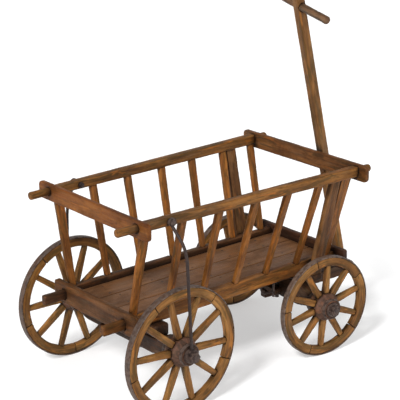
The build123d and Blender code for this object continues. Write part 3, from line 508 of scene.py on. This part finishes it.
def ring_coordinates(points, wheel):
    """Places along a rim block's curve, out from the axle and along the axle."""
    joint = joints[f"{wheel}_spin"]
    centre, axis = np.array(joint["pos_m"]), np.array(joint["axis"], float)
    axis /= np.linalg.norm(axis)
    rel = points - centre
    outwards = rel.mean(0) - axis * (rel.mean(0) @ axis)
    outwards /= np.linalg.norm(outwards)
    x, z, w = rel @ outwards, rel @ np.cross(axis, outwards), rel @ axis
    radius = np.hypot(x, z)
    return np.column_stack((np.arctan2(z, x) * radius, radius, w))


def grain_for(node, points, axes, seed):
    """Each point's place along, across and through the wood, shifted by the part's seed."""
    if node.endswith("_felloes"):
        local = ring_coordinates(points, wheel_of(node))
    elif node.endswith("_hub"):
        along = np.array(joints[f"{wheel_of(node)}_spin"]["axis"], float)
        across = np.cross(along, (0.0, 0.0, 1.0))
        local = points @ np.array((along, across, np.cross(along, across))).T
    else:
        local = points @ axes.T
    return local + np.array([seed * step for step in GRAIN_STEPS])


def seed_for(node, number):
    """A seed for one loose part of a node, from the node's name and the part's number."""
    return (len(node) * 7 + sum(map(ord, node)) * 3 + number * 13) % 97 + number * 0.31


def worn(node, voxel):
    """Replace a CAD node by a copy with softened edges and shallow inward dents."""
    source = merged_copy(node)
    build = bmesh.new()
    grain = []
    for number, group in enumerate(loose_parts(source)):
        part = part_mesh(source, group)
        axes = principal_axes(vectors_of(part.vertices, "co"))
        seed = seed_for(node, number)
        fine = remeshed(part, voxel)
        points = vectors_of(fine.vertices, "co")
        moved = points - vectors_of(fine.vertex_normals, "vector") * dents(points, seed)[:, None]
        fine.vertices.foreach_set("co", moved.astype(np.float32).ravel())
        grain.append(grain_for(node, points, axes, seed))
        build.from_mesh(fine)
        bpy.data.meshes.remove(fine)
        bpy.data.meshes.remove(part)
    mesh = bpy.data.meshes.new(f"worn_{node}")
    build.to_mesh(mesh)
    build.free()
    bpy.data.meshes.remove(source)
    attribute = mesh.attributes.new("grain", "FLOAT_VECTOR", "POINT")
    attribute.data.foreach_set("vector", np.concatenate(grain).astype(np.float32).ravel())
    mesh.shade_smooth()
    mesh.materials.append(finish_of(node))
    piece = bpy.data.objects.new(f"worn_{node}", mesh)
    bpy.context.scene.collection.objects.link(piece)
    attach(piece, body_of[node])
    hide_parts(node)


# ---------------------------------------------------------------- studio
FLOOR_SIZE = 40
FLOOR_NOISE = (3.0, 3.0)
FLOOR_DARK, FLOOR_LIGHT = (0.60, 0.60, 0.60), (0.64, 0.64, 0.64)
FLOOR_ROUGHNESS = 0.9
FLOOR_GLOW = 0.42
SUN_TOWARD, SUN_POWER, SUN_SPREAD = (1.0, 0.42, -1.0), 3.0, radians(12)
FILL_PLACE, FILL_TARGET = (1.2, -4.2, 2.2), (0, 0, 0.4)
FILL_SIZE, FILL_POWER = 2.5, 60
WHITE = (1, 1, 1, 1)
# As the view rises from the first height to the second, the room goes from the third strength to the fourth
WORLD_FADE = (0.05, 0.32, 0.95, 0.50)


def pale_floor():
    """A plain pale studio floor."""
    s = Shader("studio_floor")
    place = s.node("ShaderNodeTexCoord").outputs["Object"]
    colour = s.mix(s.cloud(place, *FLOOR_NOISE), rgba(FLOOR_DARK), rgba(FLOOR_LIGHT))
    s.surface(Base_Color=colour, Roughness=FLOOR_ROUGHNESS, Specular_IOR_Level=0.0)
    s.surface(Emission_Color=WHITE, Emission_Strength=FLOOR_GLOW)
    return s.material


def make_stage():
    """A wide pale floor under the cart."""
    bpy.ops.mesh.primitive_plane_add(size=FLOOR_SIZE, location=(0, 0, 0))
    floor = bpy.context.object
    floor.name = "studio_floor"
    floor.data.materials.append(pale_floor())


def aimed(name, data, toward):
    """Put a light in the scene, shining along a direction."""
    light = bpy.data.objects.new(name, data)
    light.rotation_euler = Vector(toward).to_track_quat("-Z", "Y").to_euler()
    bpy.context.scene.collection.objects.link(light)
    return light


def make_lights():
    """A soft-edged sun from the rear, a little to the right, and a large fill light at the front right."""
    key = bpy.data.lights.new("key", "SUN")
    key.energy = SUN_POWER
    key.angle = SUN_SPREAD
    aimed("key", key, SUN_TOWARD)
    fill = bpy.data.lights.new("fill", "AREA")
    fill.size = FILL_SIZE
    fill.energy = FILL_POWER
    aimed("fill", fill, Vector(FILL_TARGET) - Vector(FILL_PLACE)).location = FILL_PLACE


def make_world():
    """A white room: brightest near the horizon, dimmer overhead."""
    world = bpy.data.worlds.new("studio")
    world.use_nodes = True
    tree = world.node_tree
    split = tree.nodes.new("ShaderNodeSeparateXYZ")
    tree.links.new(tree.nodes.new("ShaderNodeTexCoord").outputs["Generated"], split.inputs[0])
    fade = tree.nodes.new("ShaderNodeMapRange")
    tree.links.new(split.outputs["Z"], fade.inputs["Value"])
    for socket, value in zip(("From Min", "From Max", "To Min", "To Max"), WORLD_FADE):
        fade.inputs[socket].default_value = value
    background = tree.nodes["Background"]
    background.inputs["Color"].default_value = WHITE
    tree.links.new(fade.outputs[0], background.inputs["Strength"])
    bpy.context.scene.world = world


# ---------------------------------------------------------------- the scene
for node, slot in slot_of.items():
    if slot.endswith("_wood"):
        worn(node, WIDE_CELL if node in WIDE else CELL)
    else:
        nodes[node].data.materials.clear()
        nodes[node].data.materials.append(finish_of(node))

make_camera()
make_stage()
make_lights()
make_world()
bpy.context.scene.view_settings.view_transform = "Standard"
